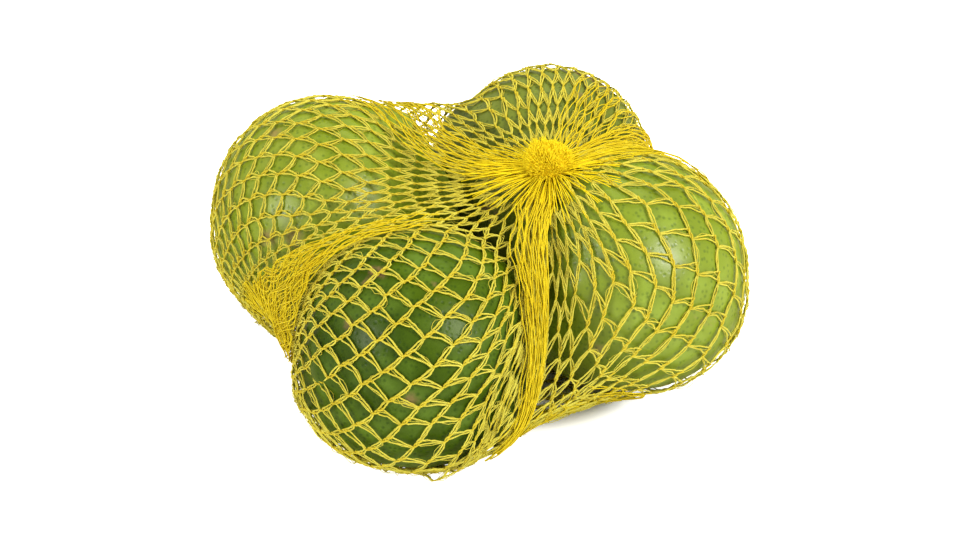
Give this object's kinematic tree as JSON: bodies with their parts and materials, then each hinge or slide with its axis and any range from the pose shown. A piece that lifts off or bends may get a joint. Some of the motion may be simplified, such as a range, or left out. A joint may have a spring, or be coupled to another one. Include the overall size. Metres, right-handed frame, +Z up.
{
  "type": "net of limes",
  "caption": "Knitted net bag holding whole limes, drawn tight round them and gathered into a tuft of yarn ends on top.",
  "frame": {"origin": "under the middle of the bounding box, in the plane the limes rest on", "axes": "+Z up, +Y the longest extent across the four limes, the front lime towards -Y and the left lime towards -X"},
  "size_m": [0.1334, 0.1381, 0.0624],
  "materials": {
    "net": "loosely twisted yellow yarn, knitted into an open diamond net, soft sheen",
    "lime_peel": "waxy, finely pored green citrus peel with paler, yellower patches and small brown scars"
  },
  "bodies": {
    "root": {"net_of_limes": "net"}
  },
  "joints": []
}
